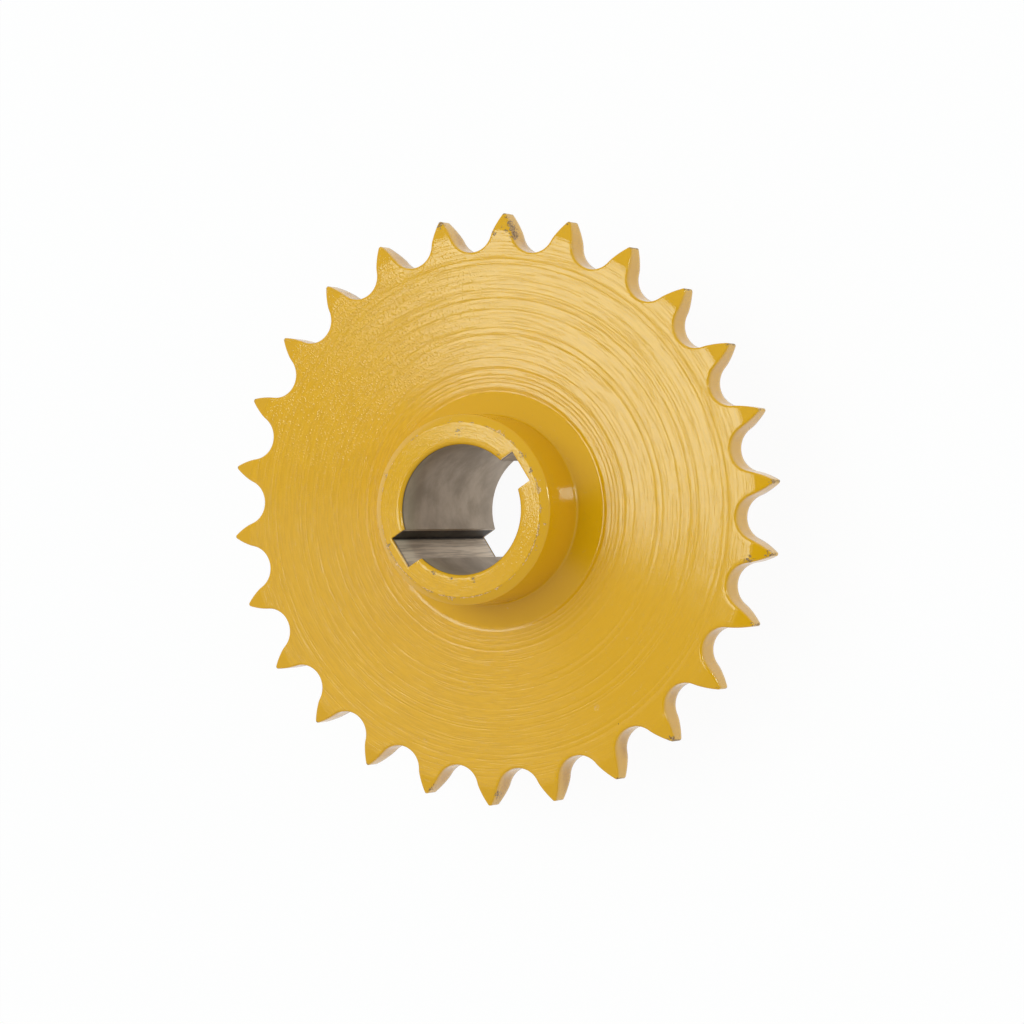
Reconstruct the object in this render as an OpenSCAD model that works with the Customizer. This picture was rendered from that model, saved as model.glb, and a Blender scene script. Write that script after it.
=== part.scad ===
// Roller-chain sprocket with a hub on both sides, a keyed bore and turned faces.
// Sizes are in millimetres. The axis is Z and the part stands on the end of its longer hub.

/* [Chain and teeth] */
// Number of teeth
teeth = 26; // [20:1:40]
// Pitch of the chain, from pin to pin
chain_pitch = 15.875; // [14:0.005:20]
// Diameter of the chain's rollers
roller_d = 10.16; // [9:0.02:11]
// Clearance between a roller and its seat, on the radius
seat_clearance = 0.3; // [0:0.05:0.6]
// Half of the angle that the roller seat wraps round
seat_half_angle = 66.5; // [62:0.5:70]
// Radius of the convex flank above each roller seat
flank_r = 21; // [16:0.5:30]
// Height of the tooth tips above the pitch circle
tip_rise = 3.4; // [2:0.1:3.8]

/* [Toothed plate] */
// Thickness of the toothed plate
plate_t = 7.6; // [5:0.1:12]
// Radial width of the turned bevel on the sides of the teeth
bevel_w = 4.5; // [2:0.1:7]
// Depth of that bevel at the tooth tips
bevel_drop = 1.5; // [0.6:0.1:2.2]
// Broken edge along the roller seats and flanks
edge_break = 0.3; // [0.2:0.1:1]

/* [Hub] */
// Wall of the hub, from the bore to the outside
hub_wall = 7; // [5.5:0.1:12]
// Height of the front hub above the plate
hub_front_h = 19; // [10:0.5:40]
// Height of the back hub above the plate
hub_back_h = 25; // [10:0.5:40]
// Radial width of the chamfer round the hub ends
hub_chamfer_w = 1.9; // [0.5:0.1:2.5]
// Height of that chamfer
hub_chamfer_h = 1.5; // [0.5:0.1:4]

/* [Foot of the hub] */
// Radial width of the slope between the hub and the plate
foot_w = 5.6; // [2:0.1:8]
// Height of that slope, above the floor of the shallow recess round the hub
foot_h = 2.75; // [1:0.05:6]
// Radius of the fillet between the slope and the hub
foot_fillet_r = 1; // [0.3:0.1:3]
// Width of the flat floor of the recess, beyond the slope
recess_flat_w = 0.4; // [0.2:0.1:10]
// Depth of that recess below the plate's face
recess_depth = 0.15; // [0.05:0.05:1]
// Radial width of the sloped outer wall of the recess
recess_slope_w = 0.5; // [0.2:0.1:1.5]

/* [Bore] */
// Diameter of the bore
bore_d = 30; // [20:0.5:32]
// Chamfer at both ends of the bore
bore_chamfer = 0.8; // [0.3:0.1:2]
// Number of keyways, evenly spaced, the first in line with a tooth
keyways = 2; // [1:1:3]
// Width of a keyway
keyway_w = 8; // [5:0.5:10]
// Depth of a keyway beyond the bore
keyway_depth = 3.3; // [2:0.1:3.6]

/* [Hidden] */
$fn = 128;

// How far the cutters reach past the faces they cut
overrun = 1;

// Radii about the axis
pitch_r = chain_pitch / (2 * sin(180 / teeth));
tip_r = pitch_r + tip_rise;
bore_r = bore_d / 2;
hub_r = bore_r + hub_wall;
foot_end_r = hub_r + foot_w;
recess_floor_r = foot_end_r + recess_flat_w;
recess_r = recess_floor_r + recess_slope_w;

// Heights along the axis, from the end of the back hub
plate_mid_z = hub_back_h + plate_t / 2;
length = hub_back_h + plate_t + hub_front_h;

// Radius of a roller seat, and the centre of a flank's arc from the centre of that seat
seat_r = roller_d / 2 + seat_clearance;
flank_x = -(seat_r + flank_r) * cos(seat_half_angle);
flank_y = (seat_r + flank_r) * sin(seat_half_angle);

// Half of the turned profile, from the middle of the plate to the end of one hub
module half_profile(hub_h) {
    face_z = plate_t / 2;
    floor_z = face_z - recess_depth;
    end_z = face_z + hub_h;
    slope = atan2(foot_h, foot_w);
    fillet_x = hub_r + foot_fillet_r;
    fillet_z = floor_z + foot_h + foot_fillet_r * (1 / cos(slope) - tan(slope));
    difference() {
        polygon([
            [0, 0],
            [tip_r, 0],
            [tip_r, face_z - bevel_drop],
            [tip_r - bevel_w, face_z],
            [recess_r, face_z],
            [recess_floor_r, floor_z],
            [foot_end_r, floor_z],
            [fillet_x - foot_fillet_r * sin(slope), fillet_z - foot_fillet_r * cos(slope)],
            [fillet_x, fillet_z],
            [hub_r, fillet_z],
            [hub_r, end_z - hub_chamfer_h],
            [hub_r - hub_chamfer_w, end_z],
            [0, end_z]
        ]);
        translate([fillet_x, fillet_z])
            circle(r = foot_fillet_r);
    }
}

// The turned blank: plate, both hubs with their sloped feet, and recesses
module blank() {
    translate([0, 0, plate_mid_z])
        rotate_extrude() {
            half_profile(hub_front_h);
            mirror([0, 1])
                half_profile(hub_back_h);
        }
}

// The space between two teeth, from z = 0 up, with walls that lean outward by flare over the height
module roller_gap(height, flare) {
    reach = tip_rise + overrun;
    cylinder(h = height, r1 = seat_r, r2 = seat_r + flare);
    difference() {
        linear_extrude(height)
            polygon([
                [0, 0],
                [flank_x, flank_y],
                [reach, flank_y],
                [reach, -flank_y],
                [flank_x, -flank_y]
            ]);
        for (side = [-1, 1])
            translate([flank_x, side * flank_y, 0])
                cylinder(h = height, r1 = flank_r, r2 = flank_r - flare);
    }
}

// One roller gap through the plate, with its edges broken on both faces
module tooth_gap() {
    break_h = edge_break + overrun;
    translate([pitch_r, 0, -plate_t / 2 - overrun])
        roller_gap(plate_t + 2 * overrun, 0);
    for (side = [0, 1])
        mirror([0, 0, side])
            translate([pitch_r, 0, plate_t / 2 - edge_break])
                roller_gap(break_h, break_h);
}

// The bore with a chamfer at each end and its keyways
module keyed_bore() {
    through = length + 2 * overrun;
    chamfer_h = bore_chamfer + overrun;
    translate([0, 0, -overrun])
        cylinder(h = through, r = bore_r);
    translate([0, 0, -overrun])
        cylinder(h = chamfer_h, r1 = bore_r + chamfer_h, r2 = bore_r);
    translate([0, 0, length - bore_chamfer])
        cylinder(h = chamfer_h, r1 = bore_r, r2 = bore_r + chamfer_h);
    for (k = [0 : keyways - 1])
        rotate(k * 360 / keyways)
            translate([0, -keyway_w / 2, -overrun])
                cube([bore_r + keyway_depth, keyway_w, through]);
}

module sprocket() {
    color("goldenrod")
        difference() {
            blank();
            keyed_bore();
            translate([0, 0, plate_mid_z])
                for (i = [0 : teeth - 1])
                    rotate((i + 0.5) * 360 / teeth)
                        tooth_gap();
        }
}

sprocket();
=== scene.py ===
"""A painted roller-chain sprocket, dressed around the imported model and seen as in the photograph."""
import math
import random

import bpy
import numpy as np
from mathutils import Matrix, Vector


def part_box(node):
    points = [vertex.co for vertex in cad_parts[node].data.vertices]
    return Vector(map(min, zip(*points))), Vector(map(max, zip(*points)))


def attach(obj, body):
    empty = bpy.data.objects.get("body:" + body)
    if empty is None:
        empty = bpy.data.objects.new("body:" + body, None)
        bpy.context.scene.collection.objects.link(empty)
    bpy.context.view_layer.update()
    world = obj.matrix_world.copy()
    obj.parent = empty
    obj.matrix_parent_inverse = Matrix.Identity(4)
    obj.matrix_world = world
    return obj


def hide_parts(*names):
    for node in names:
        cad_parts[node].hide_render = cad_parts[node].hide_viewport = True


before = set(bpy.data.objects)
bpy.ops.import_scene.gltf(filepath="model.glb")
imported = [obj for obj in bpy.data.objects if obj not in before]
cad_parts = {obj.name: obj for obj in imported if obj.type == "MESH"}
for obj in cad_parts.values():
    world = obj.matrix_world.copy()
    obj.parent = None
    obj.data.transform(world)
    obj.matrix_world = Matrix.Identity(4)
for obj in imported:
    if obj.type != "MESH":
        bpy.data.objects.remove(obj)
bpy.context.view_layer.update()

# Sizes in millimetres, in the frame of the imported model
MM = 0.001
NODE = "sprocket"
_, node_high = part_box(NODE)
TIP_R = node_high.x / MM
LENGTH = node_high.z / MM

TEETH = 26
CHAIN_PITCH = 15.875
SEAT_R = 5.38
SEAT_HALF_ANGLE = math.radians(66.5)
FLANK_R = 21.0
PLATE_BACK_Z = 25.0
PLATE_FRONT_Z = 32.6
BEVEL_W = 4.5
BEVEL_DROP = 1.5
EDGE_BREAK = 0.3
TIP_EDGE_BREAK = 0.2
HUB_R = 22.0
HUB_CHAMFER_W = 1.9
HUB_CHAMFER_H = 1.5
FOOT_W = 5.6
FOOT_H = 2.75
FOOT_FILLET_R = 1.0
RECESS_FLAT_W = 0.4
RECESS_DEPTH = 0.15
RECESS_SLOPE_W = 0.5
BORE_R = 15.0
BORE_CHAMFER = 0.8
KEYWAY_HALF_W = 4.0
KEYWAY_FLOOR_X = 18.3

# Paint gathered on the recess floor
RECESS_PAINT = 0.05

# Sizes that follow from these
TOOTH_ANGLE = 2 * math.pi / TEETH
HALF_TOOTH = TOOTH_ANGLE / 2
PITCH_R = CHAIN_PITCH / (2 * math.sin(HALF_TOOTH))
BEVEL_R = TIP_R - BEVEL_W
FOOT_END_R = HUB_R + FOOT_W
RECESS_FLOOR_R = FOOT_END_R + RECESS_FLAT_W
RECESS_R = RECESS_FLOOR_R + RECESS_SLOPE_W
HUB_FACE_R = HUB_R - HUB_CHAMFER_W

# Mesh density
COLUMNS = 8
RING = TEETH * COLUMNS
SEAT_POINTS = 11
FLANK_POINTS = 9
NOSE_POINTS = 5
KEY_FLOOR_COLUMNS = 7
KEY_WALL_COLUMNS = 3
SHARP_ANGLE = math.radians(40)

# Rows of points across plain walls, the slope of the foot and the hub, in shares of the way
WALL_ROWS = (0.2, 0.4, 0.6, 0.8)
FOOT_ROWS = (0.4, 0.7, 0.93)
HUB_ROWS = (0.06, 0.3, 0.5, 0.7, 0.85)

# Radii of the eased corners
RECESS_EASE = 0.3
HUB_EASE = 0.35
BEVEL_EASE = 0.35
BORE_EASE = 0.2

# Grooves the lathe tool left on both faces: radius and width, with walls of one slope
GROOVES = [
    (29.6, 0.22), (30.5, 0.28), (31.4, 0.22), (32.85, 0.9), (35.4, 0.24),
    (40.8, 0.26), (42.4, 0.22), (46.7, 0.22), (49.3, 0.18), (50.7, 0.18),
    (51.35, 0.15), (57.2, 0.24), (58.5, 0.22),
]
GROOVE_SLOPE = 0.22

# Finer lathe marks of each face: seed, range of pitch and range of depth
FRONT_MARKS = (11, (1.0, 2.0), (0.001, 0.006))
BACK_MARKS = (23, (1.2, 2.4), (0.002, 0.02))
# How far the depth of such a mark swells and fades on its way round
MARK_SWELL = 0.35
# Plain margins of the face, inside and outside the marks
MARKS_INNER_MARGIN = 0.7
MARKS_OUTER_MARGIN = 0.1

# Rows over the broken tooth edges, in shares of their width: inset at the seats, at the tips, and drop
EDGE_ROWS = [
    (2.2, 1.3, 0.0),
    (1.5, 1.05, 0.06),
    (0.85, 0.85, 0.2),
    (0.5, 0.5, 0.5),
    (0.1, 0.1, 0.85),
    (0.0, 0.0, 1.15),
]

# Paint worn or knocked off: model angle in degrees, radius, height, spread and strength
CHIPS = [
    (53.4, 66.3, 30.6, 1.7, 1.0),
    (53.0, 64.4, 31.0, 1.4, 0.9),
    (57.0, 64.6, 32.4, 0.8, 0.7),
    (69.2, 68.6, 31.2, 1.0, 0.8),
    (-27.7, 69.0, 30.6, 0.9, 0.4),
    (-41.5, 68.9, 30.6, 1.0, 0.6),
    (-43.3, 64.6, 32.4, 1.0, 0.7),
    (-83.0, 68.6, 31.0, 0.9, 0.7),
    (-108.9, 64.2, 31.9, 0.5, 0.9),
    (-123.2, 66.4, 30.8, 0.9, 1.0),
    (-122.6, 67.8, 29.6, 1.2, 0.5),
    (-137.0, 67.8, 31.1, 0.9, 1.0),
    (-147.4, 16.0, 51.5, 0.5, 0.8),
    (-131.4, 16.2, 51.5, 0.45, 0.85),
    (-110.7, 16.2, 51.5, 0.6, 0.8),
    (5.4, 19.9, 51.5, 0.5, 0.7),
    (-6.9, 19.9, 51.5, 0.5, 0.7),
    (19.2, 16.2, 51.5, 0.5, 0.8),
    (58.4, 18.2, 51.6, 0.6, 0.8),
    (171.6, 19.9, 51.5, 0.5, 0.7),
]

# Small dents in the front face: place and radius
DENTS = [((-44.4, -35.7, 32.6), 0.9), ((-3.2, -52.4, 32.6), 1.0)]

# Wear on the crests of the teeth: seed, range and half width
TIP_WEAR_SEED = 5
TIP_WEAR = (0.3, 0.9)
CREST_HALF_W = 0.3

# Wear along the rims of the hub ends: its line, its level, and how that varies round the rim
RIM_LINE_R = HUB_FACE_R + 0.1
RIM_LINE_HALF_W = 0.16
RIM_WEAR = 0.6
RIM_WEAR_SWING = 0.16
RIM_WEAR_RIPPLE = 0.05
RIM_WEAR_ANGLE = math.radians(-75)

# Paint grained like orange peel: its sector, the radii between which it sets in, and the rest's share
PEEL_ANGLE = math.radians(98)
PEEL_SPREAD = math.radians(30)
PEEL_INNER_R = RECESS_R + 3
PEEL_OUTER_R = RECESS_R + 13
PEEL_ON_HUB = 0.2
PEEL_ELSEWHERE = 0.06

# Paint that fills the lathe marks: its sector, and how far it fills them
POOL_ANGLE = math.radians(-80)
POOL_SPREAD = math.radians(27)
POOL_SHARE = 0.8


def lerp(a, b, t):
    """The value at that share of the way from a to b."""
    return a + (b - a) * t


def between(a, b, t):
    """The profile point at that share of the way from a to b."""
    return lerp(a[0], b[0], t), lerp(a[1], b[1], t)


def smooth_step(low, high, value):
    """0 below low, 1 above high, and a smooth rise between them."""
    t = np.clip((value - low) / (high - low), 0, 1)
    return t * t * (3 - 2 * t)


# Tooth outline
def flank_centre():
    """Centre of a flank's arc, with the middle of the tooth gap along X."""
    reach = SEAT_R + FLANK_R
    x = PITCH_R - reach * math.cos(SEAT_HALF_ANGLE)
    y = reach * math.sin(SEAT_HALF_ANGLE)
    return np.array([x, y])


def nose_radius():
    """Radius of the round nose that meets both flanks and just reaches the tip circle."""
    crest = np.array([math.cos(HALF_TOOTH), math.sin(HALF_TOOTH)])
    low, high = 0.0, 3.0
    for _ in range(60):
        nose = (low + high) / 2
        gap = np.linalg.norm((TIP_R - nose) * crest - flank_centre())
        if gap < FLANK_R - nose:
            low = nose
        else:
            high = nose
    return low


def half_gap(inset):
    """Points from the bottom of a tooth gap to the crest of the tooth, moved into the metal by inset.

    Returns their radii and their angles from the middle of the tooth.
    """
    nose = nose_radius()
    flank = flank_centre()
    nose_centre = (TIP_R - nose) * np.array([math.cos(HALF_TOOTH), math.sin(HALF_TOOTH)])
    toward_nose = nose_centre - flank
    flank_end = math.atan2(toward_nose[1], toward_nose[0])
    seat = np.linspace(0, SEAT_HALF_ANGLE, SEAT_POINTS, endpoint=False)
    rise = np.linspace(-SEAT_HALF_ANGLE, flank_end, FLANK_POINTS, endpoint=False)
    turn = np.linspace(flank_end, HALF_TOOTH, NOSE_POINTS)
    inset = np.broadcast_to(inset, SEAT_POINTS + FLANK_POINTS + NOSE_POINTS)
    on_seat, on_rise, on_turn = np.split(inset, [SEAT_POINTS, SEAT_POINTS + FLANK_POINTS])
    x = np.concatenate([
        PITCH_R - (SEAT_R + on_seat) * np.cos(seat),
        flank[0] + (FLANK_R - on_rise) * np.cos(rise),
        nose_centre[0] + (nose - on_turn) * np.cos(turn),
    ])
    y = np.concatenate([
        (SEAT_R + on_seat) * np.sin(seat),
        flank[1] + (FLANK_R - on_rise) * np.sin(rise),
        nose_centre[1] + (nose - on_turn) * np.sin(turn),
    ])
    angle = HALF_TOOTH - np.arctan2(y, x)
    angle[-1] = 0.0
    return np.hypot(x, y), angle


def edge_row(row):
    """Inset and drop of one row over the broken edge, at each point of the outline."""
    seat_share, tip_share, drop_share = row
    radius, _ = half_gap(0.0)
    toward_tip = smooth_step(BEVEL_R - 2.0, TIP_R - 1.0, radius)
    share = lerp(seat_share, tip_share, toward_tip)
    width = lerp(EDGE_BREAK, TIP_EDGE_BREAK, toward_tip)
    return width * share, width * drop_share


def root_radius():
    """Radius where the turned face meets the soft edge at the bottom of a tooth gap."""
    inset, _ = edge_row(EDGE_ROWS[0])
    return half_gap(inset)[0][0]


# Turned profile
def eased(points, radius, steps=3):
    """A polyline whose inner corners are rounded by short curves of about that radius."""
    out = [points[0]]
    for before, corner, after in zip(points, points[1:], points[2:]):
        a, p, b = (np.array(q, float) for q in (before, corner, after))
        start = p + (a - p) * min(radius / np.linalg.norm(a - p), 0.45)
        end = p + (b - p) * min(radius / np.linalg.norm(b - p), 0.45)
        for k in range(steps + 1):
            t = k / steps
            out.append(tuple((1 - t) ** 2 * start + 2 * t * (1 - t) * p + t * t * end))
    out.append(points[-1])
    return out


def arc(centre, radius, start, end, steps):
    """Points along a circular arc, angles in degrees."""
    out = []
    for k in range(steps + 1):
        a = math.radians(lerp(start, end, k / steps))
        out.append((centre[0] + radius * math.cos(a), centre[1] + radius * math.sin(a)))
    return out


def bevel_depth(radius):
    """Depth of the tooth bevel below the face, with its inner edge slightly softened."""
    past = np.asarray(radius, float) - BEVEL_R
    corner = np.clip(past + BEVEL_EASE, 0, 2 * BEVEL_EASE) ** 2 / (4 * BEVEL_EASE)
    return (corner + np.maximum(past - BEVEL_EASE, 0)) * BEVEL_DROP / BEVEL_W


def turning_marks(seed, pitch, depth):
    """Rows across the turned face, over a ridge and down into the groove beside it by turns.

    Returns (radius, depth, lobes, phase) rows from the outside in.
    """
    draw = random.Random(seed)
    grooves = list(GROOVES)
    rows = []
    radius = RECESS_R + MARKS_INNER_MARGIN
    outer = root_radius() - MARKS_OUTER_MARGIN
    while radius < outer - pitch[1]:
        step = draw.uniform(*pitch)
        cut = draw.uniform(*depth)
        lobes = draw.randint(1, 3)
        phase = draw.uniform(0, 2 * math.pi)
        if grooves and radius + step > grooves[0][0] - grooves[0][1] / 2:
            rows.append((radius, 0.0, lobes, phase))
            middle, step = grooves.pop(0)
            radius = max(middle - step / 2, radius + 0.1)
            cut = GROOVE_SLOPE * step / 2
            lobes, phase = 0, 0.0
        for share, level in ((0.0, 0.0), (0.25, 0.5), (0.5, 1.0), (0.75, 0.5)):
            rows.append((radius + step * share, cut * level, lobes, phase))
        radius += step
    rows.append((radius, 0.0, 1, 0.0))
    return rows[::-1]


# Rows of points
class Mesh:
    """Points and faces, gathered before they become one mesh."""

    def __init__(self):
        self.points = []
        self.faces = []
        self.bare_faces = set()

    def add(self, points):
        """Adds points and returns their numbers."""
        first = len(self.points)
        self.points.extend(tuple(p) for p in points)
        return list(range(first, len(self.points)))

    def join(self, rows, closed, flip, bare=False):
        """Faces between neighbouring rows of equal length."""
        for upper, lower in zip(rows, rows[1:]):
            for k in range(len(upper) if closed else len(upper) - 1):
                n = (k + 1) % len(upper)
                corners = list(dict.fromkeys([upper[k], upper[n], lower[n], lower[k]]))
                if len(corners) < 3:
                    continue
                if bare:
                    self.bare_faces.add(len(self.faces))
                self.faces.append(corners[::-1] if flip else corners)


def polar_points(radius, angle, height):
    radius, angle, height = np.broadcast_arrays(radius, angle, height)
    return np.stack([radius * np.cos(angle), radius * np.sin(angle), height], axis=1)


def ring_angles():
    """Angles of a full ring, with a tooth's middle at angle zero."""
    return (2 * np.arange(RING) / COLUMNS - 1) * HALF_TOOTH


def keyed_points(bore, grow, height):
    """A ring on the bore's outline with both keyways, all walls moved back by grow."""
    half_w = KEYWAY_HALF_W + grow
    floor_x = KEYWAY_FLOOR_X + grow
    bore = bore + grow
    wall_x = math.sqrt(bore ** 2 - half_w ** 2)
    wall_angle = math.asin(half_w / bore)
    half_turn = RING // 2
    arc_start = KEY_FLOOR_COLUMNS + KEY_WALL_COLUMNS
    arc_columns = half_turn / 2 - arc_start
    out = []
    for k in range(RING):
        step = k - COLUMNS // 2
        turn = round(step / half_turn)
        local = step - turn * half_turn
        column = abs(local)
        if column <= KEY_FLOOR_COLUMNS:
            x = floor_x
            y = half_w * column / KEY_FLOOR_COLUMNS
        elif column <= arc_start:
            x = lerp(floor_x, wall_x, (column - KEY_FLOOR_COLUMNS) / KEY_WALL_COLUMNS)
            y = half_w
        else:
            a = lerp(wall_angle, math.pi / 2, (column - arc_start) / arc_columns)
            x = bore * math.cos(a)
            y = bore * math.sin(a)
        side = -1 if turn % 2 else 1
        out.append((side * x, side * math.copysign(y, local), height))
    return out


def turned_side(mesh, face_z, up, hub_h, marks):
    """Plate face, recess, foot and hub of one side. Returns the root ring and the hub's end ring."""
    angles = ring_angles()
    rows = [mesh.add(polar_points(root_radius(), angles, face_z))]
    for radius, depth, lobes, phase in marks:
        cut = depth * (1 - MARK_SWELL + MARK_SWELL * np.cos(lobes * angles + phase))
        rows.append(mesh.add(polar_points(radius, angles, face_z - up * cut)))
    slope = math.atan2(FOOT_H, FOOT_W)
    fillet_x = HUB_R + FOOT_FILLET_R
    fillet_z = FOOT_H - RECESS_DEPTH + FOOT_FILLET_R * (1 / math.cos(slope) - math.tan(slope))
    fillet = arc((fillet_x, fillet_z), FOOT_FILLET_R, 270 - math.degrees(slope), 180, 6)
    floor = RECESS_PAINT - RECESS_DEPTH
    foot = (FOOT_END_R, floor)
    profile = eased([
        (RECESS_R + 0.6, 0.0),
        (RECESS_R, 0.0),
        (RECESS_FLOOR_R, floor),
        foot,
        between(foot, fillet[0], 0.15),
    ], RECESS_EASE)
    profile += [between(foot, fillet[0], t) for t in FOOT_ROWS]
    profile += fillet
    wall_end = (HUB_R, hub_h - HUB_CHAMFER_H)
    profile += [between((HUB_R, fillet_z), wall_end, t) for t in HUB_ROWS]
    profile += eased([
        (HUB_R, wall_end[1] - 0.8),
        wall_end,
        (HUB_FACE_R, hub_h),
        (HUB_FACE_R - 0.4, hub_h),
    ], HUB_EASE)
    for radius, height in profile:
        rows.append(mesh.add(polar_points(radius, angles, face_z + up * height)))
    mesh.join(rows, closed=True, flip=up < 0)
    return rows[0], rows[-1]


def tooth_side(mesh, face_z, up, root_ring):
    """The sides of all teeth on one face. Returns the ring of points along their edges."""
    ring = []
    spread = 2 * np.arange(COLUMNS + 1) / COLUMNS - 1
    inset, _ = edge_row(EDGE_ROWS[0])
    radii, angles = half_gap(inset)
    heights = face_z - up * bevel_depth(radii)
    for tooth in range(TEETH):
        middle = tooth * TOOTH_ANGLE
        rows = [[root_ring[(tooth * COLUMNS + k) % RING] for k in range(COLUMNS + 1)]]
        for radius, angle, height in zip(radii[1:-1], angles[1:-1], heights[1:-1]):
            rows.append(mesh.add(polar_points(radius, middle + angle * spread, height)))
        crest = mesh.add(polar_points(radii[-1:], middle, heights[-1]))
        rows.append(crest * (COLUMNS + 1))
        mesh.join(rows, closed=False, flip=up > 0)
        ring += [row[0] for row in rows] + [row[-1] for row in rows[-2:0:-1]]
    return ring


def tooth_ring(radii, angles, heights):
    """A ring of points round all teeth, from one half outline."""
    radius = np.concatenate([radii, radii[-2:0:-1]])
    angle = np.concatenate([-angles, angles[-2:0:-1]])
    height = np.concatenate([heights, heights[-2:0:-1]])
    teeth = [polar_points(radius, tooth * TOOTH_ANGLE + angle, height) for tooth in range(TEETH)]
    return np.concatenate(teeth)


def tooth_flanks(mesh, front_ring, back_ring):
    """Broken edges and flanks between the tooth edges of both faces."""
    ends = []
    for face_z, up in ((PLATE_FRONT_Z, 1), (PLATE_BACK_Z, -1)):
        rings = []
        for row in EDGE_ROWS[1:]:
            inset, drop = edge_row(row)
            radii, angles = half_gap(inset)
            heights = face_z - up * (bevel_depth(radii) + drop)
            rings.append(tooth_ring(radii, angles, heights))
        ends.append(rings)
    front, back = ends
    middle = [lerp(front[-1], back[-1], t) for t in WALL_ROWS]
    rows = [mesh.add(ring) for ring in front + middle + back[::-1]]
    mesh.join([front_ring] + rows + [back_ring], closed=True, flip=True)


def hub_end(mesh, hub_ring, end_z, up):
    """The flat end of one hub, in over the bore's worn edge.

    Returns the ring where the bare bore begins.
    """
    bend = 0.3
    outline = keyed_points(BORE_R + BORE_CHAMFER, BORE_EASE, end_z)
    outer = np.array([mesh.points[k] for k in hub_ring])
    rows = [hub_ring]
    for t in WALL_ROWS:
        rows.append(mesh.add(lerp(outer, np.array(outline), t)))
    rows.append(mesh.add(outline))
    for t in (0.0, 0.25, 0.5, 0.75, 1.0):
        across = (1 - t) ** 2 + 2 * t * (1 - t) * bend
        down = t ** 2 + 2 * t * (1 - t) * bend
        depth = max(BORE_CHAMFER * down, BORE_EASE / 3)
        ring = keyed_points(BORE_R + BORE_CHAMFER * across, 0.0, end_z - up * depth)
        rows.append(mesh.add(ring))
    mesh.join(rows, closed=True, flip=up < 0)
    return rows[-1]


def bore_wall(mesh, front_ring, back_ring):
    """The bare wall of the bore and its keyways."""
    margin = 2.0
    rows = [front_ring]
    for t in WALL_ROWS:
        height = lerp(LENGTH - margin, margin, t)
        rows.append(mesh.add(keyed_points(BORE_R, 0.0, height)))
    rows.append(back_ring)
    mesh.join(rows, closed=True, flip=False, bare=True)


# Wear and paint texture
def wear_at(points):
    """How far the paint is worn at each point, from 0 to 1."""
    x, y, _ = points.T
    radius = np.hypot(x, y)
    angle = np.arctan2(y, x)
    draw = random.Random(TIP_WEAR_SEED)
    tip_wear = np.array([draw.uniform(*TIP_WEAR) for _ in range(TEETH)])
    tooth = np.round(angle / TOOTH_ANGLE).astype(int)
    off_crest = (angle - tooth * TOOTH_ANGLE) * radius
    crest = np.exp(-(off_crest / CREST_HALF_W) ** 2)
    crest *= smooth_step(TIP_R - 0.6, TIP_R - 0.1, radius)
    wear = tip_wear[tooth % TEETH] * crest
    for degrees, chip_r, chip_z, spread, strength in CHIPS:
        a = math.radians(degrees)
        centre = np.array([chip_r * math.cos(a), chip_r * math.sin(a), chip_z])
        off_centre = np.linalg.norm(points - centre, axis=1)
        wear += strength * np.exp(-(off_centre / spread) ** 2)
    return np.clip(wear, 0, 1)


def rim_wear_at(points):
    """How far the paint is worn along the rims of the hub ends at each point, from 0 to 1."""
    x, y, z = points.T
    radius = np.hypot(x, y)
    angle = np.arctan2(y, x)
    on_end = np.minimum(np.abs(z), np.abs(z - LENGTH)) < HUB_CHAMFER_H / 2
    rim = np.exp(-((radius - RIM_LINE_R) / RIM_LINE_HALF_W) ** 2)
    level = RIM_WEAR + RIM_WEAR_SWING * np.cos(angle - RIM_WEAR_ANGLE)
    level += RIM_WEAR_RIPPLE * np.sin(4 * angle)
    return on_end * rim * level


def sector_at(points, middle, spread):
    """1 at that angle round the axis, fading to 0 on both sides of it."""
    x, y, _ = points.T
    turn = np.arctan2(y, x) - middle
    off = np.abs((turn + math.pi) % (2 * math.pi) - math.pi)
    return np.exp(-(off / spread) ** 2)


def peel_at(points):
    """How strongly the paint is grained like orange peel at each point, from 0 to 1."""
    x, y, _ = points.T
    radius = np.hypot(x, y)
    grained = sector_at(points, PEEL_ANGLE, PEEL_SPREAD)
    grained *= smooth_step(PEEL_INNER_R, PEEL_OUTER_R, radius)
    on_hub = radius < HUB_FACE_R
    return lerp(PEEL_ELSEWHERE, 1.0, np.maximum(grained, PEEL_ON_HUB * on_hub))


def turned_at(points):
    """1 where the lathe marks show, on the plate's faces and hub ends, and 0 elsewhere.

    It is less than 1 where paint fills the marks.
    """
    z = points[:, 2]
    faces = np.array([0.0, PLATE_BACK_Z, PLATE_FRONT_Z, LENGTH])
    off = np.abs(z[:, None] - faces).min(axis=1)
    filled = POOL_SHARE * sector_at(points, POOL_ANGLE, POOL_SPREAD)
    return (1 - smooth_step(0.1, 0.25, off)) * (1 - filled)


def flank_at(points):
    """1 on the tooth flanks and 0 elsewhere."""
    x, y, z = points.T
    radius = np.hypot(x, y)
    depth = np.minimum(PLATE_FRONT_Z - z, z - PLATE_BACK_Z) - bevel_depth(radius)
    return (radius > PITCH_R - SEAT_R - EDGE_BREAK) * smooth_step(0.0, EDGE_BREAK, depth)


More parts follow.
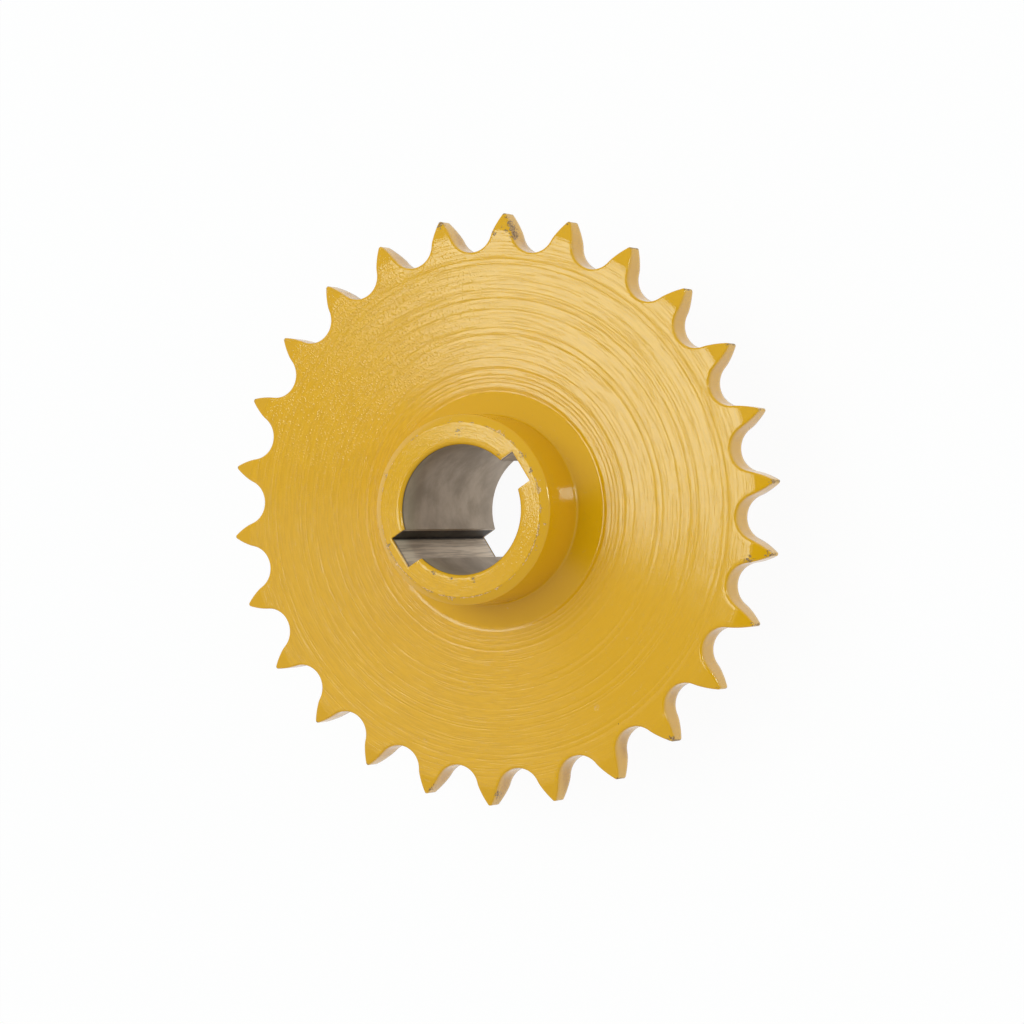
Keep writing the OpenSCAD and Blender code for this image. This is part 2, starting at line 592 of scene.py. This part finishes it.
def build_sprocket():
    """The whole sprocket as one closed mesh."""
    mesh = Mesh()
    front_marks = turning_marks(*FRONT_MARKS)
    back_marks = turning_marks(*BACK_MARKS)
    front_hub_h = LENGTH - PLATE_FRONT_Z
    back_hub_h = PLATE_BACK_Z
    front_root, front_hub = turned_side(mesh, PLATE_FRONT_Z, 1, front_hub_h, front_marks)
    back_root, back_hub = turned_side(mesh, PLATE_BACK_Z, -1, back_hub_h, back_marks)
    front_ring = tooth_side(mesh, PLATE_FRONT_Z, 1, front_root)
    back_ring = tooth_side(mesh, PLATE_BACK_Z, -1, back_root)
    tooth_flanks(mesh, front_ring, back_ring)
    front_bore = hub_end(mesh, front_hub, LENGTH, 1)
    back_bore = hub_end(mesh, back_hub, 0.0, -1)
    bore_wall(mesh, front_bore, back_bore)

    points = np.array(mesh.points)
    data = bpy.data.meshes.new("painted_sprocket")
    data.from_pydata((points * MM).tolist(), [], mesh.faces)
    for polygon in data.polygons:
        polygon.use_smooth = True
        polygon.material_index = 1 if polygon.index in mesh.bare_faces else 0
    data.set_sharp_from_angle(angle=SHARP_ANGLE)
    measures = {
        "wear": wear_at,
        "rim_wear": rim_wear_at,
        "peel": peel_at,
        "turned": turned_at,
        "flank": flank_at,
    }
    for name, measure in measures.items():
        values = data.attributes.new(name, "FLOAT", "POINT").data
        values.foreach_set("value", measure(points))
    data.update()
    piece = bpy.data.objects.new("painted_sprocket", data)
    bpy.context.scene.collection.objects.link(piece)
    return piece


# Materials
class Nodes:
    """A short way to add linked nodes to a material."""

    def __init__(self, name):
        self.material = bpy.data.materials.new(name)
        self.material.use_nodes = True
        self.tree = self.material.node_tree
        self.shader = self.tree.nodes["Principled BSDF"]

    def add(self, kind, inputs=None, **settings):
        node = self.tree.nodes.new(kind)
        for name, value in settings.items():
            setattr(node, name, value)
        for name, value in (inputs or {}).items():
            self.feed(node.inputs[name], value)
        return node

    def feed(self, socket, value):
        if isinstance(value, bpy.types.NodeSocket):
            self.tree.links.new(value, socket)
        else:
            socket.default_value = value

    def set(self, **inputs):
        """Sets or links the shader's sockets, underscores for spaces."""
        for name, value in inputs.items():
            self.feed(self.shader.inputs[name.replace("_", " ")], value)

    def math(self, operation, a, b=0.0):
        return self.add("ShaderNodeMath", {0: a, 1: b}, operation=operation).outputs[0]

    def vector(self, operation, a, b=(0, 0, 0)):
        """Outputs of a vector operation: a vector first, and a number named Value."""
        return self.add("ShaderNodeVectorMath", {0: a, 1: b}, operation=operation).outputs

    def noise(self, vector, scale, detail=2.0, roughness=0.5):
        inputs = {"Vector": vector, "Scale": scale, "Detail": detail, "Roughness": roughness}
        return self.add("ShaderNodeTexNoise", inputs).outputs[0]

    def ramp(self, value, low, high, start=0.0, end=1.0):
        """Value from low to high, mapped smoothly from start to end."""
        inputs = {"Value": value, "From Min": low, "From Max": high, "To Min": start, "To Max": end}
        return self.add("ShaderNodeMapRange", inputs, interpolation_type="SMOOTHSTEP").outputs[0]

    def blend(self, factor, a, b):
        """Colour a where the factor is 0, colour b where it is 1."""
        node = self.add("ShaderNodeMix", data_type="RGBA")
        self.feed(node.inputs["Factor"], factor)
        self.feed(node.inputs[6], a)
        self.feed(node.inputs[7], b)
        return node.outputs[2]

    def bump(self, height):
        """Surface normal for a height in millimetres."""
        inputs = {"Height": height, "Distance": MM, "Strength": 1.0}
        return self.add("ShaderNodeBump", inputs).outputs[0]

    def attribute(self, name):
        return self.add("ShaderNodeAttribute", attribute_name=name).outputs["Fac"]

    def position(self):
        """Place on the part in millimetres."""
        place = self.add("ShaderNodeTexCoord").outputs["Object"]
        return self.add("ShaderNodeVectorMath", {0: place, 3: 1 / MM}, operation="SCALE").outputs[0]

    def flat(self, position):
        """Place with its height taken out."""
        return self.vector("MULTIPLY", position, (1, 1, 0))[0]

    def radius(self, position):
        """Distance from the axis."""
        return self.vector("LENGTH", self.flat(position))["Value"]

    def pits(self, position, scale, radius):
        """1 in small round pits, one in some of the cells of that scale, and 0 elsewhere."""
        cells = self.add("ShaderNodeTexVoronoi", {"Vector": position, "Scale": scale}).outputs
        chosen = self.add("ShaderNodeSeparateColor", {0: cells["Color"]}).outputs
        size = self.ramp(chosen[0], 0.5, 1.0, 0.0, radius * scale)
        return self.math("LESS_THAN", cells["Distance"], size)

    def nibs(self, position, scale, radius):
        """Low round bumps, 1 at their tops, one in each cell of that scale."""
        cells = self.add("ShaderNodeTexVoronoi", {"Vector": position, "Scale": scale}).outputs
        return self.ramp(cells["Distance"], radius * scale, 0.0)

    def spot(self, position, centre, radius):
        """1 at the centre and 0 beyond the radius."""
        off = self.vector("DISTANCE", position, centre)["Value"]
        return self.ramp(off, radius, 0.0)

    def along_turning(self, position, looseness):
        """Coordinates whose first number crosses the lathe marks.

        The other two run slowly round them.
        """
        around = self.vector("NORMALIZE", self.flat(position))[0]
        split = self.add("ShaderNodeSeparateXYZ", {0: around}).outputs
        height = self.add("ShaderNodeSeparateXYZ", {0: position}).outputs[2]
        across = self.math("ADD", self.radius(position), height)
        x = self.math("MULTIPLY", split[0], looseness)
        y = self.math("MULTIPLY", split[1], looseness)
        return self.add("ShaderNodeCombineXYZ", {0: across, 1: x, 2: y}).outputs[0]


# Colours of the paint, its worn places, the bare steel and the floor
PAINT = (0.725, 0.368, 0.002, 1)
PAINT_DEEP = (0.67, 0.335, 0.001, 1)
PAINT_PLAIN = (0.695, 0.35, 0.004, 1)
PIT_DARK = (0.12, 0.06, 0.02, 1)
CHIP_DARK = (0.2, 0.1, 0.03, 1)
CHIP_LIGHT = (0.5, 0.31, 0.14, 1)
SCUFFED = (0.68, 0.38, 0.13, 1)
RIM_WORN = (0.45, 0.245, 0.05, 1)
RIM_SCRAPED = (0.85, 0.52, 0.24, 1)
STEEL_LIGHT = (0.56, 0.455, 0.345, 1)
STEEL_DARK = (0.44, 0.355, 0.265, 1)
STEEL_PIT = (0.12, 0.09, 0.07, 1)
STEEL_BROACHED = (0.85, 0.72, 0.57, 1)
# Dark steel colour: painted shade on one keyway wall, and a darker band just inside the bore's front
# end
DARKENED_STEEL = (0.043, 0.034, 0.025, 1)
FLOOR_COLOUR = (0.8, 0.8, 0.8, 1)

# Outward lean of the long side of each lathe mark, as a slope, on the faces and the hub ends
FACE_LEAN = 0.085
HUB_LEAN = 0.065

# Sum of grain and wear between which the paint gives way
WORN_THROUGH = (0.98, 1.06)

# Heights in the paint and the bare steel, in millimetres
MARK_HEIGHT = (0.011, 0.037)
SCRATCH_DEPTH = 0.022
PEEL_HEIGHT = 0.06
CHIP_DEPTH = 0.07
DENT_DEPTH = 0.06
BROACH_HEIGHT = 0.03

# How rough and how metallic the surfaces are
PAINT_ROUGHNESS = 0.115
CHIP_ROUGHNESS = 0.6
PIT_ROUGHNESS = 0.9
STEEL_ROUGHNESS = (0.58, 0.5)
STEEL_METALLIC = 0.6
FLOOR_ROUGHNESS = 0.9


def ochre_paint():
    """Semi-gloss ochre paint over turned steel, worn through at the tips and edges."""
    paint = Nodes("ochre_paint")
    place = paint.position()
    turned = paint.attribute("turned")
    turning = paint.along_turning(place, looseness=5.0)
    long_turning = paint.along_turning(place, looseness=1.2)
    short_turning = paint.along_turning(place, looseness=6.0)
    patches = paint.noise(place, scale=0.035)
    marks = paint.noise(turning, scale=2.5, roughness=0.6)
    scratches = paint.ramp(paint.noise(long_turning, scale=3.0), 0.47, 0.34)
    peel = paint.math("MULTIPLY", paint.nibs(place, scale=1.4, radius=0.32), 1.3)
    peel = paint.math("ADD", peel, paint.noise(place, scale=2.0, detail=1.0))
    grain = paint.noise(place, scale=1.8, detail=3.0, roughness=0.6)
    worn = paint.math("ADD", paint.ramp(grain, 0.3, 0.7), paint.attribute("wear"))
    bare = paint.ramp(worn, *WORN_THROUGH)
    flakes = paint.noise(short_turning, scale=1.6, detail=4.0, roughness=0.7)
    rim_worn = paint.math("ADD", paint.ramp(flakes, 0.3, 0.7), paint.attribute("rim_wear"))
    rim_bare = paint.ramp(rim_worn, *WORN_THROUGH)
    pits = paint.pits(place, scale=0.1, radius=0.3)

    height = paint.math("MULTIPLY", marks, paint.ramp(patches, 0.38, 0.58, *MARK_HEIGHT))
    height = paint.math("SUBTRACT", height, paint.math("MULTIPLY", scratches, SCRATCH_DEPTH))
    height = paint.math("MULTIPLY", height, turned)
    peel_height = paint.math("MULTIPLY", paint.attribute("peel"), PEEL_HEIGHT)
    height = paint.math("ADD", height, paint.math("MULTIPLY", peel, peel_height))
    radius = paint.radius(place)
    on_face = paint.math("MINIMUM", paint.math("MAXIMUM", radius, RECESS_R), BEVEL_R)
    on_hub = paint.math("MINIMUM", radius, HUB_FACE_R)
    height = paint.math("SUBTRACT", height, paint.math("MULTIPLY", on_face, FACE_LEAN))
    height = paint.math("SUBTRACT", height, paint.math("MULTIPLY", on_hub, HUB_LEAN))
    gone = paint.math("MAXIMUM", bare, rim_bare)
    height = paint.math("SUBTRACT", height, paint.math("MULTIPLY", gone, CHIP_DEPTH))
    scuffs = 0.0
    for centre, dent_r in DENTS:
        dent = paint.spot(place, centre, dent_r)
        height = paint.math("SUBTRACT", height, paint.math("MULTIPLY", dent, DENT_DEPTH))
        scuffs = paint.math("MAXIMUM", dent, scuffs)

    tone = paint.blend(paint.ramp(marks, 0.35, 0.6), PAINT_DEEP, PAINT)
    tone = paint.blend(turned, PAINT_PLAIN, tone)
    tone = paint.blend(paint.attribute("flank"), tone, PAINT)
    tone = paint.blend(pits, tone, PIT_DARK)
    speckle = paint.noise(place, scale=2.5)
    scuffed = paint.math("MULTIPLY", scuffs, paint.ramp(speckle, 0.4, 0.6))
    tone = paint.blend(scuffed, tone, SCUFFED)
    scraped = paint.blend(paint.ramp(speckle, 0.42, 0.58), RIM_WORN, RIM_SCRAPED)
    tone = paint.blend(rim_bare, tone, scraped)
    chip = paint.blend(paint.ramp(speckle, 0.4, 0.65), CHIP_DARK, CHIP_LIGHT)
    tone = paint.blend(bare, tone, chip)
    dull = paint.math("MULTIPLY", gone, CHIP_ROUGHNESS)
    dull = paint.math("MAXIMUM", dull, paint.math("MULTIPLY", pits, PIT_ROUGHNESS))
    roughness = paint.math("MAXIMUM", dull, PAINT_ROUGHNESS)
    paint.set(Base_Color=tone, Roughness=roughness, Normal=paint.bump(height))
    return paint.material


def bare_steel():
    """Bored steel with soft stains and broaching streaks in the keyways, painted shade on one keyway
    wall, and a darker band inside the front end.
    """
    steel = Nodes("bare_steel")
    place = steel.position()
    split = steel.add("ShaderNodeSeparateXYZ", {0: place}).outputs
    in_keyway = steel.ramp(steel.radius(place), BORE_R + 0.05, BORE_R + 0.5)
    drawn = steel.vector("MULTIPLY", place, (1, 1, 0.04))[0]
    streaks = steel.noise(drawn, scale=1.5, detail=3.0, roughness=0.6)
    stains = steel.noise(place, scale=0.16, detail=5.0, roughness=0.6)
    tone = steel.blend(steel.ramp(stains, 0.3, 0.7), STEEL_DARK, STEEL_LIGHT)
    broached = steel.blend(steel.ramp(streaks, 0.35, 0.6), STEEL_LIGHT, STEEL_BROACHED)
    tone = steel.blend(in_keyway, tone, broached)
    tone = steel.blend(steel.pits(place, scale=0.2, radius=0.3), tone, STEEL_PIT)
    # Painted shade: the +Y wall of the keyway on the -X side is darkened, standing in for the shadow
    # that falls on it
    by_wall = steel.ramp(split[1], KEYWAY_HALF_W - 0.8, KEYWAY_HALF_W - 0.1)
    past_bore = steel.ramp(split[0], -BORE_R + 0.1, -BORE_R - 0.3)
    keyway_wall_shade = steel.math("MULTIPLY", by_wall, past_bore)
    # The last millimetre of the bore wall darkens towards the chamfer at its front end
    rim_z = LENGTH - BORE_CHAMFER
    rim = steel.ramp(split[2], rim_z - 1.0, rim_z, 0.0, 0.8)
    tone = steel.blend(steel.math("MAXIMUM", keyway_wall_shade, rim), tone, DARKENED_STEEL)
    height = steel.math("MULTIPLY", steel.math("MULTIPLY", streaks, in_keyway), BROACH_HEIGHT)
    roughness = steel.ramp(stains, 0.3, 0.7, *STEEL_ROUGHNESS)
    steel.set(Base_Color=tone, Metallic=STEEL_METALLIC, Roughness=roughness, Normal=steel.bump(height))
    return steel.material


def white_floor():
    """Plain white ground: lit by the lamps, and plain white to the eye and in reflections."""
    floor = Nodes("white_floor")
    floor.set(Base_Color=FLOOR_COLOUR, Roughness=FLOOR_ROUGHNESS)
    path = floor.add("ShaderNodeLightPath").outputs
    seen = floor.math("MAXIMUM", path["Is Camera Ray"], path["Is Glossy Ray"])
    seen = floor.math("MAXIMUM", seen, path["Is Transmission Ray"])
    share = floor.math("MULTIPLY", seen, FLOOR_WHITE)
    white = floor.add("ShaderNodeEmission", {"Color": (1, 1, 1, 1), "Strength": 1.0}).outputs[0]
    output = floor.tree.nodes["Material Output"]
    mix = floor.add("ShaderNodeMixShader", {0: share, 1: floor.shader.outputs[0], 2: white})
    floor.tree.links.new(mix.outputs[0], output.inputs["Surface"])
    return floor.material


# Camera: looks down on the front hub as in the photograph
IMAGE_SIZE = 1024
SENSOR_W = 36.0
FOCAL_PX = 4252.0
VIEW_TILT = math.radians(24.33)
VIEW_TURN = math.radians(33.08)
VIEW_DISTANCE = 14.325 * TIP_R * MM
VIEW_OFFSET_X = 0.0602 * TIP_R * MM
VIEW_OFFSET_Y = -0.0077 * TIP_R * MM

# Half width of the floor in metres, and how white it is to the eye
FLOOR_SIZE = 4.0
FLOOR_WHITE = 0.95

# Light from all round, in the photograph's axes
WORLD_LEVEL = 0.6
DIM_LEVEL = 0.0
DIM_DIRECTION = (0.47, -0.16, 0.87)
DIM_INNER = math.radians(7)
DIM_OUTER = math.radians(26)

# Lamps: name, direction and axis of the width in the photograph's axes, size in metres, radiance, tint
COOL = (0.8, 1.0, 0.94)
NEUTRAL = (1.0, 1.0, 1.0)
LAMP_DISTANCE = 3.0
LAMPS = [
    ("window", (-0.248, 0.218, 0.944), (0.602, 0.799, 0.0), 1.11, 2.4, 5.5, COOL),
    ("side", (0.943, 0.245, 0.23), (0.0, 1.0, 0.0), 0.5, 0.4, 30.0, COOL),
    ("left", (-0.55, -0.25, 0.8), (0.0, 1.0, 0.0), 1.6, 1.6, 0.6, NEUTRAL),
]


def view_frame():
    """From the photograph's axes at the plate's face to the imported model's frame.

    Those axes point right, up and along the bore.
    """
    face = Matrix.Translation((0, 0, PLATE_FRONT_Z * MM))
    return face @ Matrix.Rotation(-VIEW_TURN, 4, "Z")


def add_camera():
    data = bpy.data.cameras.new("photo_camera")
    data.sensor_width = SENSOR_W
    data.lens = FOCAL_PX / IMAGE_SIZE * SENSOR_W
    camera = bpy.data.objects.new("photo_camera", data)
    tilt = Matrix.Rotation(VIEW_TILT, 4, "Y")
    place = Matrix.Translation((VIEW_OFFSET_X, VIEW_OFFSET_Y, VIEW_DISTANCE))
    camera.matrix_world = view_frame() @ tilt @ place
    bpy.context.scene.collection.objects.link(camera)
    bpy.context.scene.camera = camera


def add_floor():
    data = bpy.data.meshes.new("floor")
    corners = [
        (-FLOOR_SIZE, -FLOOR_SIZE, 0),
        (FLOOR_SIZE, -FLOOR_SIZE, 0),
        (FLOOR_SIZE, FLOOR_SIZE, 0),
        (-FLOOR_SIZE, FLOOR_SIZE, 0),
    ]
    data.from_pydata(corners, [], [(0, 1, 2, 3)])
    floor = bpy.data.objects.new("floor", data)
    bpy.context.scene.collection.objects.link(floor)
    floor.data.materials.append(white_floor())


def add_softbox(name, direction, across, width, height, radiance, tint):
    """A rectangular lamp that faces the part, with directions in the photograph's axes."""
    data = bpy.data.lights.new(name, "AREA")
    data.shape = "RECTANGLE"
    data.size = width
    data.size_y = height
    data.energy = radiance * math.pi * width * height
    data.color = tint
    lamp = bpy.data.objects.new(name, data)
    z_axis = Vector(direction).normalized()
    y_axis = z_axis.cross(Vector(across)).normalized()
    x_axis = y_axis.cross(z_axis)
    turn = Matrix((x_axis, y_axis, z_axis)).transposed().to_4x4()
    lamp.matrix_world = view_frame() @ Matrix.Translation(z_axis * LAMP_DISTANCE) @ turn
    lamp.visible_camera = False
    bpy.context.scene.collection.objects.link(lamp)


def add_world():
    """Even light from all round, dimmed behind the camera where the photographer stands."""
    world = bpy.data.worlds.new("studio")
    bpy.context.scene.world = world
    world.use_nodes = True
    nodes = world.node_tree.nodes
    links = world.node_tree.links
    dark_side = view_frame().to_3x3() @ Vector(DIM_DIRECTION).normalized()
    toward = nodes.new("ShaderNodeVectorMath")
    toward.operation = "DOT_PRODUCT"
    toward.inputs[1].default_value = dark_side
    links.new(nodes.new("ShaderNodeTexCoord").outputs["Generated"], toward.inputs[0])
    level = nodes.new("ShaderNodeMapRange")
    level.interpolation_type = "SMOOTHSTEP"
    level.inputs["From Min"].default_value = math.cos(DIM_OUTER)
    level.inputs["From Max"].default_value = math.cos(DIM_INNER)
    level.inputs["To Min"].default_value = WORLD_LEVEL
    level.inputs["To Max"].default_value = DIM_LEVEL
    links.new(toward.outputs["Value"], level.inputs["Value"])
    links.new(level.outputs["Result"], nodes["Background"].inputs["Strength"])
    nodes["Background"].inputs["Color"].default_value = (1, 1, 1, 1)


bpy.context.scene.view_settings.view_transform = "Standard"
add_camera()
add_floor()
add_world()
for lamp_values in LAMPS:
    add_softbox(*lamp_values)
sprocket = build_sprocket()
sprocket.data.materials.append(ochre_paint())
sprocket.data.materials.append(bare_steel())
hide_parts(NODE)
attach(sprocket, "root")
